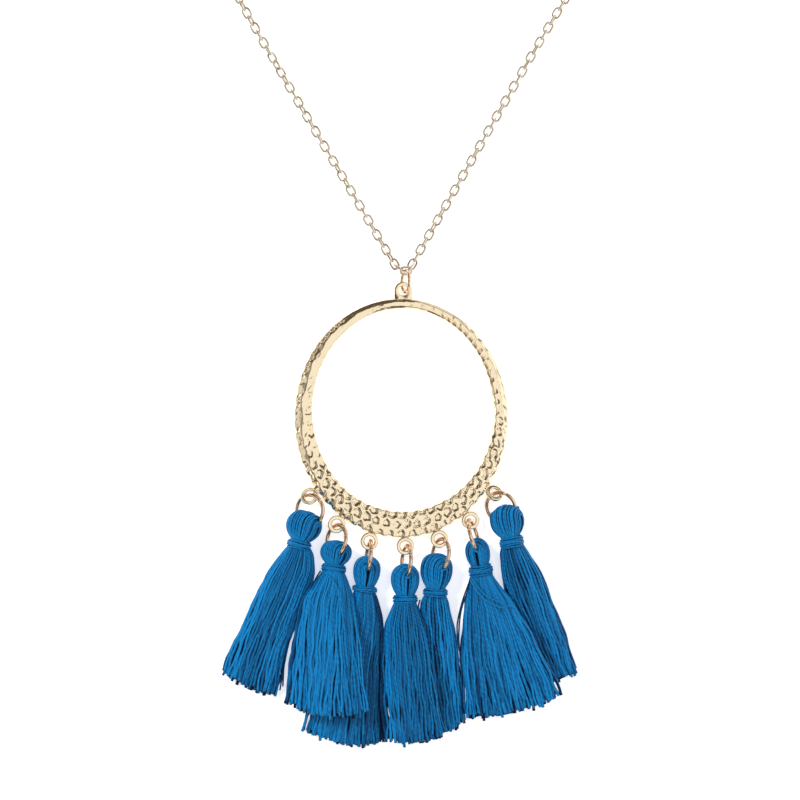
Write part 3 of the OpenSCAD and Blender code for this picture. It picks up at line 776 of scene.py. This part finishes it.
def ring_axes(k):
    """Two directions in the plane of a tassel's ring: its heading, and square to that."""
    heading, roll = math.radians(HANG[k].heading), math.radians(HANG[k].roll)
    aside = [-math.sin(heading) * math.cos(roll), math.cos(heading) * math.cos(roll), math.sin(roll)]
    return np.array([math.cos(heading), math.sin(heading), 0]), np.array(aside)


def ellipse_angles(w, h, count, start):
    """Angles that space points evenly round an ellipse."""
    a = np.linspace(0, TAU, 721)
    steps = np.hypot(np.diff(np.cos(a)) * w, np.diff(np.sin(a)) * h)
    length = np.concatenate([[0], np.cumsum(steps)])
    return np.interp((np.arange(count) + start) / count * length[-1], length, a)


def skirt_frame(k, t):
    """The middle of a skirt at shares t of its length, and the way across it, as in the CAD model."""
    length = SKIRT_L * SKIRT[k].length
    a = neck_at(k)
    c = a + length * course(SKIRT[k].course)
    b = a + course(HEAD[k].lean) * length * 0.35
    t = t[:, None]
    way = (1 - t) ** 2 * a + 2 * t * (1 - t) * b + t ** 2 * c
    return way, square_to(unit(2 * (1 - t) * (b - a) + 2 * t * (c - b)))


def edge_line(k, side, t):
    """A skirt's edge at shares t of its length, softened between the points that it is told by."""
    across = square_to(course(HEAD[k].lean))
    start = neck_at(k) + across * (-1, 1)[side] * ROOT_R
    points = np.array([start] + [from_pixel(*p) for p in EDGES[k][side]])
    length = line_lengths(points)
    fine = np.linspace(0, 1, 121)
    return points_at(t, fine, softened(points_at(fine, length / length[-1], points), 30))


def skirt_threads(k, rng):
    """The threads between a skirt's two edges, in layers, with locks that hold together and a few strays."""
    t = np.append(np.linspace(0, 1, SKIRT_STEPS - 1) ** 1.2 * 0.99, 1)
    left, right = edge_line(k, 0, t), edge_line(k, 1, t)
    ahead = unit(np.gradient((left + right) / 2, axis=0))
    side = square_to(ahead)
    bulge = from_pixel(*EDGES[k][2]) - (left[-1] + right[-1]) / 2
    end_w = np.linalg.norm(right[-1] - left[-1]) / 2
    end_d = SKIRT_T * SKIRT[k].depth / 2 - 0.2
    end_z = SKIRT_T * (SKIRT[k].depth / 2 + SKIRT[k].lift) + GAP / 2
    # The section swells just below the neck and then eases to its depth and height at the end
    deep = ROOT_R + 0.6 * (1 - np.exp(-t / 0.04)) + (end_d - ROOT_R - 0.6) * t ** 0.7
    wide = np.linalg.norm(right - left, axis=1) / 2 + 0.1
    z = mix(NECK_Z, end_z, t ** 0.6)
    fall = 1 - (1 - t) ** 2
    # As many threads as fit round the end's ellipse
    perimeter = math.pi * (3 * (end_w + end_d) - math.sqrt((3 * end_w + end_d) * (end_w + 3 * end_d)))
    full = int(perimeter / SKIRT_SPACING)
    length = SKIRT_L * SKIRT[k].length
    locks = 9 + k % 3
    lock_reach = rng.uniform(-0.5, 0.35, locks)
    lock_drift = rng.normal(0, 0.075, locks)
    lock_lift = rng.uniform(-0.06, 0.1, locks)
    lock_tone = rng.uniform(0.62, 1.16, locks)
    paths, tones, thick, refs = [], [], [], []
    for scale, share in SKIRT_LAYERS:
        count = int(full * share)
        # Each thread keeps its place round the section, from the neck's circle to the end's ellipse
        phi_end = ellipse_angles(end_w, end_d, count, rng.uniform(0, 1))
        phi_neck = (np.arange(count) + 0.5) / count * TAU
        lock = (phi_end / TAU * locks + rng.uniform(-0.12, 0.12, count)).astype(int) % locks
        stray = rng.uniform(0, 1, count) < STRAYS
        phi = mix(phi_neck[:, None], phi_end[:, None], t ** 0.8)
        radius = (scale - rng.uniform(0, 0.06, count))[:, None] * (1 + (lock_lift[lock] * scale)[:, None] * t)
        radius = radius * np.where(stray, 1.05, 1.0)[:, None]
        # It drifts sideways with its lock, from a start of its own on
        drift = lock_drift[lock] + rng.normal(0, 0.022, count)
        drift = (drift + np.where(stray, rng.normal(0, 0.2, count), 0))[:, None]
        start = rng.uniform(0, 0.45, count)[:, None]
        ramp = np.clip((t - start) / (1 - start), 0, 1) ** 1.3
        q = np.cos(phi) * np.minimum(radius, 1.0)
        q = q + drift * ramp * (1 - 0.9 * q * q)
        # It waves along its length, and its end comes short of the others' or past them
        slow, quick = rng.uniform(9, 20, count)[:, None], rng.uniform(4, 7, count)[:, None]
        along = t * length
        wave = (0.26 * np.sin(TAU * along / slow + rng.uniform(0, TAU, count)[:, None]) +
                0.1 * np.sin(TAU * along / quick + rng.uniform(0, TAU, count)[:, None])) * np.sqrt(t)
        height = (0.2 * np.sin(TAU * along / slow * 0.8 + rng.uniform(0, TAU, count)[:, None])) * t
        reach = lock_reach[lock] + rng.normal(0, 0.42, count) - 0.15 - 0.7 * (1 - scale)
        xy = mix(left[None], right[None], ((q + 1) / 2)[..., None]) + side * wave[..., None]
        xy = xy + bulge * ((1 - q * q) * t * t)[..., None] + ahead * (reach[:, None] * t ** 3)[..., None]
        edge = q * q * np.where(q < 0, SKIRT[k].left, SKIRT[k].right) * SKIRT_T * fall
        up = np.maximum(z + np.sin(phi) * radius * deep + edge + height, THREAD_LOW)
        paths.append(np.concatenate([xy, up[..., None]], -1))
        # Each thread's uv turns to face out of the skirt, where the painted flank shade is lightest
        out = side[None] * (np.cos(phi) / wide)[..., None]
        refs.append(unit(np.concatenate([out, (np.sin(phi) / deep)[..., None]], -1)))
        # Random tone, by thread and by lock, times painted shade: the inner layers are painted darker, as the
        # shade deep in the skirt
        tone = rng.normal(0.95, 0.26, count) * lock_tone[lock] * mix(0.5, 1, scale ** 2)
        tones.append(np.clip(tone, 0.05, 1.3))
        thick.append(rng.uniform(0.86, 1.12, count))
    radii = mix(ROOT_THREAD_R, THREAD_R, np.clip(t * 2.4, 0, 1))[None] * np.concatenate(thick)[:, None]
    return cut_threads(np.concatenate(paths), radii, np.concatenate(refs), np.concatenate(tones))


def cut_threads(paths, radii, refs, tones):
    """Threads that end in a blunt cut."""
    tip = paths[:, -1:] + unit(paths[:, -1:] - paths[:, -2:-1]) * 0.04
    radii = np.concatenate([radii, radii[:, -1:] * 0.05], 1)
    refs = np.concatenate([refs, refs[:, -1:]], 1)
    return tubes(np.concatenate([paths, tip], 1), radii, THREAD_SIDES, refs, tones)


def loose_threads(k):
    made = []
    neck = neck_at(k)
    length = SKIRT_L * SKIRT[k].length
    end_z = SKIRT_T * (SKIRT[k].depth + SKIRT[k].lift) + GAP / 2
    for owner, tone, over, points in LOOSE:
        if owner != k:
            continue
        points = np.array([from_pixel(*p) for p in points])
        path = points_at(np.linspace(0, 1, LOOSE_STEPS), np.linspace(0, 1, len(points)), points)
        path = softened(path, 25)
        t = np.clip(np.linalg.norm(path - neck, axis=1) / length, 0, 1)
        up = np.maximum(mix(NECK_Z + NECK_R + 0.4, end_z, t ** 0.6) + over, LOOSE_LOW)
        path = np.concatenate([path, up[:, None]], 1)[None]
        refs = np.broadcast_to(np.array([0, 0, 1.0]), path.shape)
        made.append(cut_threads(path, np.full((1, LOOSE_STEPS), LOOSE_THREAD_R), refs, [tone]))
    return made


def head_profile(k, a):
    """Shares of half the head's width and depth at a share a of the way from its top to its neck."""
    half_w, half_t, length = head_sizes(k)
    pinch = 1 - (wrap_len(k) / 2 + GAP) / length
    x = np.clip((a - WIDEST) / (pinch - WIDEST), 0, 1)
    return 1 - (1 - NECK_R / half_w) * x ** 2.1, 1 - (1 - NECK_R / half_t) * x ** 2.1


def head_layer(k, rng, scale, share):
    """One layer of a head's threads: each goes up one side, over the ring, and down the other."""
    top, way = head_top(k), course(HEAD[k].lean)
    side = square_to(way)
    wire = ring_axes(k)[1]
    psi = math.atan2(wire[2], np.dot(wire[:2], side))
    half_w, half_t, length = head_sizes(k)
    count = int(math.pi * (half_w + half_t) / 2 / HEAD_SPACING * share)
    q = np.sin((np.arange(count) + 0.5) / count * math.pi - math.pi / 2) * HEAD_RIM
    q = np.clip(q + rng.normal(0, 0.012, count), -HEAD_RIM, HEAD_RIM)[:, None]
    # From the neck up one side to the widest place, then over the dome
    limb = np.linspace(1.04, WIDEST, DOME_STEPS)[None]
    arch = np.cos(np.linspace(0, math.pi / 2, DOME_STEPS))[None]
    wide_a, deep_a = head_profile(k, limb)
    xw = np.concatenate([q + 0 * limb, q + 0 * arch], 1)
    xn = np.concatenate([np.sqrt(1 - q * q) + 0 * limb, np.sqrt(1 - q * q) * arch], 1)
    p = np.clip(np.hypot(xw[:, DOME_STEPS:], xn[:, DOME_STEPS:]), 0, 1)
    arch_a = WIDEST * (1 - (1 - p ** 2.2) ** (1 / 2.2))
    a = np.concatenate([limb + 0 * q, arch_a], 1)
    grow_w = np.concatenate([wide_a + 0 * q, np.ones_like(arch_a)], 1)
    grow_d = np.concatenate([deep_a + 0 * q, np.ones_like(arch_a)], 1)
    inset = (1 - scale) * WIDEST * length
    down = np.where(a < WIDEST, inset + a * (length - inset / WIDEST), a * length)

    def half(sign):
        n = xn * sign
        x = math.cos(psi) * xw - math.sin(psi) * n
        y = math.sin(psi) * xw + math.cos(psi) * n
        out = x * grow_w * (half_w - HEAD_INSET) * scale
        path = np.empty(x.shape + (3,))
        path[..., :2] = top + way * down[..., None] + side * out[..., None]
        path[..., 2] = NECK_Z + y * grow_d * (half_t - HEAD_INSET) * scale
        return path

    loops = np.concatenate([half(1), half(-1)[:, -2::-1]], 1)
    even = np.empty((count, HEAD_STEPS, 3))
    for i, loop in enumerate(loops):
        lengths = line_lengths(loop)
        even[i] = points_at(np.linspace(0, lengths[-1], HEAD_STEPS), lengths, loop)
    swing = np.sin(np.linspace(0, math.pi, HEAD_STEPS))[None, :, None]
    even = even + rng.normal(0, 0.08, (count, 1, 3)) * swing
    # Random tone times painted shade: the inner layers are painted darker, as the shade deep in the head
    return even, np.clip(rng.normal(1, 0.12, count) * mix(0.55, 1, scale ** 2), 0.3, 1.3)


def clear_of_ring(k, paths):
    """The threads of a head, moved off the wire of the ring that they hang from."""
    along, wire = ring_axes(k)
    rel = paths - JUMPS[k]
    x, y = rel @ along, rel @ wire
    flat = np.hypot(x, y) + 1e-9
    nearest = JUMPS[k] + RING_R * (x / flat)[..., None] * along + RING_R * (y / flat)[..., None] * wire
    away = paths - nearest
    dist = np.linalg.norm(away, axis=-1, keepdims=True)
    push = away / dist * np.maximum(RING_WIRE / 2 + HEAD_CLEAR - dist, 0)
    return paths + np.where(np.linalg.norm(push, axis=-1, keepdims=True) > 0, push, softened(push, 10))


def head_threads(k, rng):
    layers = [head_layer(k, rng, scale, share) for scale, share in HEAD_LAYERS]
    paths = clear_of_ring(k, np.concatenate([even for even, _ in layers]))
    top, way = head_top(k), course(HEAD[k].lean)
    axis = np.array([way[0], way[1], 0])
    start = np.array([top[0], top[1], NECK_Z])
    down = np.clip((paths - start) @ axis, WIDEST * head_sizes(k)[2], None)
    # Each thread's uv turns to face out of the head, where the painted flank shade is lightest
    out = paths - start - down[..., None] * axis
    return tubes(paths, HEAD_THREAD_R, THREAD_SIDES, out, np.concatenate([tones for _, tones in layers]))


def shade_core(k):
    """Painted shade: a dark body at a low tone inside the tassel, standing in for the shade that shows
    between its threads.
    """
    theta = np.arange(24) / 24 * TAU
    cos = np.cos(theta)[:, None]
    rows = []
    top, way = head_top(k), course(HEAD[k].lean)
    side = square_to(way)
    half_w, half_t, length = head_sizes(k)
    for a in (WIDEST, 0.55, 0.7, 0.85):
        wide, deep = head_profile(k, np.array([a]))
        xy = top + way * length * a + side * cos * wide * half_w * SHADE_CORE_HEAD
        rows.append(np.column_stack([xy, NECK_Z + np.sin(theta) * deep * half_t * SHADE_CORE_HEAD]))
    t = np.array([0.0, 0.15, 0.3, 0.5, 0.7, 0.9])
    mid, aside = skirt_frame(k, t)
    end_z = SKIRT_T * (SKIRT[k].depth / 2 + SKIRT[k].lift) + GAP / 2
    for i, share in enumerate(t):
        wide = mix(NECK_R, SKIRT_W * SKIRT[k].width / 2, share ** SKIRT[k].flare) * SHADE_CORE_WIDE
        deep = mix(NECK_R, SKIRT_T * SKIRT[k].depth / 2, share ** 0.6) * SHADE_CORE_DEEP
        fall = 1 - (1 - share) ** 2
        u = np.cos(theta) * SHADE_CORE_WIDE
        edge = u * u * np.where(u < 0, SKIRT[k].left, SKIRT[k].right) * SKIRT_T * fall
        up = mix(NECK_Z, end_z, share ** 0.6) + np.sin(theta) * deep + edge
        rows.append(np.column_stack([mid[i] + aside[i] * cos * wide, up]))
    first = np.broadcast_to(rows[0].mean(0), rows[0].shape)
    last = np.broadcast_to(rows[-1].mean(0), rows[-1].shape)
    points = np.stack([first] + rows + [last])[:, ::-1]
    # The low tone paints this body in the threads' dark colour, as painted shade
    return grid(points, tone=0.1)


def winding(k, rng):
    """The thread wound round a neck in even turns, with a few slanting turns over them."""
    place, way = neck_at(k), course(HEAD[k].lean)
    side = square_to(way)
    turns = HEAD[k].turns
    length = wrap_len(k) - WRAP_THREAD * 0.5

    def coil(start, end, rounds, radius, phase, steps, wobble):
        a = np.linspace(0, rounds * TAU, steps) + phase
        along = np.linspace(start, end, steps) + wobble * np.sin(a + phase * 3) + 0.05 * np.sin(2.7 * a + k)
        out = radius + 0.05 * np.sin(1.7 * a + k) - 0.22 * np.abs(along / length * 2) ** 3
        path = np.empty((1, steps, 3))
        path[0, :, :2] = place + along[:, None] * way + (out * np.cos(a))[:, None] * side
        path[0, :, 2] = NECK_Z + out * np.sin(a)
        return path

    def wound_tube(path, radius, tone):
        rel = path - (place[0], place[1], NECK_Z)
        axis = np.array([way[0], way[1], 0])
        return tubes(path, radius, COIL_SIDES, rel - (rel @ axis)[..., None] * axis, [tone])

    r = NECK_R + THREAD_GAP + WRAP_R + 0.02
    even = coil(-length / 2, length / 2, turns, r, -math.pi / 2, COIL_STEPS * turns, 0.12)
    parts = [wound_tube(even, WRAP_R, 0.95)]
    for slant in (-0.55, 0.7, -0.3):
        start = -slant * length * rng.uniform(0.4, 0.6)
        stop = start + slant * length
        phase = -math.pi * 0.4 + rng.uniform(-0.2, 0.2)
        coiled = coil(start, stop, 0.9, r + 0.2, phase, COIL_STEPS, 0.04)
        parts.append(wound_tube(coiled, WRAP_R * 0.85, rng.uniform(0.85, 1.15)))
    return joined(parts)


# The room
def make_camera():
    data = bpy.data.cameras.new("camera")
    data.sensor_width = SENSOR
    data.lens = SENSOR * CAMERA_HEIGHT / VIEW_SPAN
    camera = bpy.data.objects.new("camera", data)
    camera.location = (VIEW_X, VIEW_Y, CAMERA_HEIGHT)
    bpy.context.scene.collection.objects.link(camera)
    bpy.context.scene.camera = camera


def softbox(name, place, size, radiance, mirrored=True):
    """A rectangle of even light. One that isn't mirrored lights thread and floor but shows in no metal."""
    data = bpy.data.lights.new(name, "AREA")
    data.shape = "RECTANGLE"
    data.size, data.size_y = size
    data.energy = radiance * math.pi * size[0] * size[1]
    light = bpy.data.objects.new(name, data)
    light.location = place
    light.visible_glossy = mirrored
    aim = Vector(LIT_POINT) - Vector(place)
    light.rotation_mode = "QUATERNION"
    light.rotation_quaternion = aim.to_track_quat("-Z", "Y")
    bpy.context.scene.collection.objects.link(light)


def make_floor():
    mesh = bpy.data.meshes.new("floor")
    corners = [(x * FLOOR_HALF, y * FLOOR_HALF, 0) for x, y in ((-1, -1), (1, -1), (1, 1), (-1, 1))]
    mesh.from_pydata(corners, [], [(0, 1, 2, 3)])
    floor = bpy.data.objects.new("floor", mesh)
    floor.location = (0, 0, -0.02 * MM)
    bpy.context.scene.collection.objects.link(floor)
    material, _, shader = new_material("floor_white", (0.93, 0.93, 0.93), 0.9)
    shader.inputs["Emission Color"].default_value = (1, 1, 1, 1)
    shader.inputs["Emission Strength"].default_value = 0.55
    mesh.materials.append(material)


def make_world():
    world = bpy.data.worlds.new("studio")
    world.use_nodes = True
    world.node_tree.nodes["Background"].inputs["Color"].default_value = (0.105, 0.083, 0.062, 1)
    bpy.context.scene.world = world


make_camera()
make_floor()
make_world()
bpy.context.scene.view_settings.view_transform = "Standard"
softbox("key", (-0.95, 0.7, 1.3), (0.4, 0.4), 36, mirrored=False)
softbox("fill", (0, 0, 2.2), (2.4, 2.4), 0.32, mirrored=False)
softbox("overhead", (0.42, -0.2, 1.85), (1.75, 1.65), 0.9)
softbox("back", (0.25, 1.4, 0.8), (1.5, 0.9), 0.7)
softbox("right", (1.3, 0.15, 0.7), (2.3, 1.0), 1.1)
softbox("front", (0.1, -1.3, 0.7), (1.6, 0.9), 1.05)
softbox("left", (-1.15, 0.1, 1.35), (1.6, 0.8), 0.28)
softbox("low_left", (-1.35, 0, 0.5), (1.6, 0.6), 0.7)

hammered = metal("hammered_gold", (0.97, 0.85, 0.62), (0.93, 0.78, 0.54), 0.13, 0.12)
chain_gold = metal("chain_gold", (0.8, 0.73, 0.62), (0.72, 0.64, 0.52), 0.2, 0.1)
ring_gold = metal("ring_gold", (0.84, 0.64, 0.46), (0.74, 0.53, 0.36), 0.17, 0.1)
copper = metal("rose_gold", (0.88, 0.64, 0.46), (0.82, 0.56, 0.38), 0.17, 0.04)
blue = thread("thread_blue", (0.0035, 0.225, 0.57), (0.0001, 0.010, 0.054))
wound = thread("thread_wound", (0.003, 0.195, 0.5), (0.0001, 0.010, 0.054))

parts = [hoop_band(np.random.default_rng(HOOP_SEED)), tab()]
for k in range(len(HANG)):
    parts += lug(k)
piece("hoop_hammered", joined(parts), hammered, ["hoop"])

piece("chain_links", links(), chain_gold, ["chain"])

bail_at = BAIL + (0, 0, BAIL_LIFT)
bail = wire_ring(BAIL_R, BAIL_WIRE * BAIL_DRAWN, BAIL_HEADING, BAIL_ROLL, bail_at, SEAM / 2, BAIL_SEAM_AT)
piece("bail_wire", bail, ring_gold, ["bail_ring"])

for k in range(len(HANG)):
    number = str(k + 1)
    jump = wire_ring(RING_R, RING_WIRE, HANG[k].heading, HANG[k].roll, JUMPS[k], SEAM, RING_SEAM_AT)
    piece("ring_wire_" + number, jump, copper, ["jump_ring_" + number])
    rng = np.random.default_rng(TASSEL_SEED + k)
    body = joined([shade_core(k), skirt_threads(k, rng), head_threads(k, rng)] + loose_threads(k))
    piece("tassel_threads_" + number, body, blue, ["tassel_" + number])
    piece("wrap_winding_" + number, winding(k, rng), wound, ["wrap_" + number])

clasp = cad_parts["clasp"]
clasp.data.materials.clear()
clasp.data.materials.append(chain_gold)
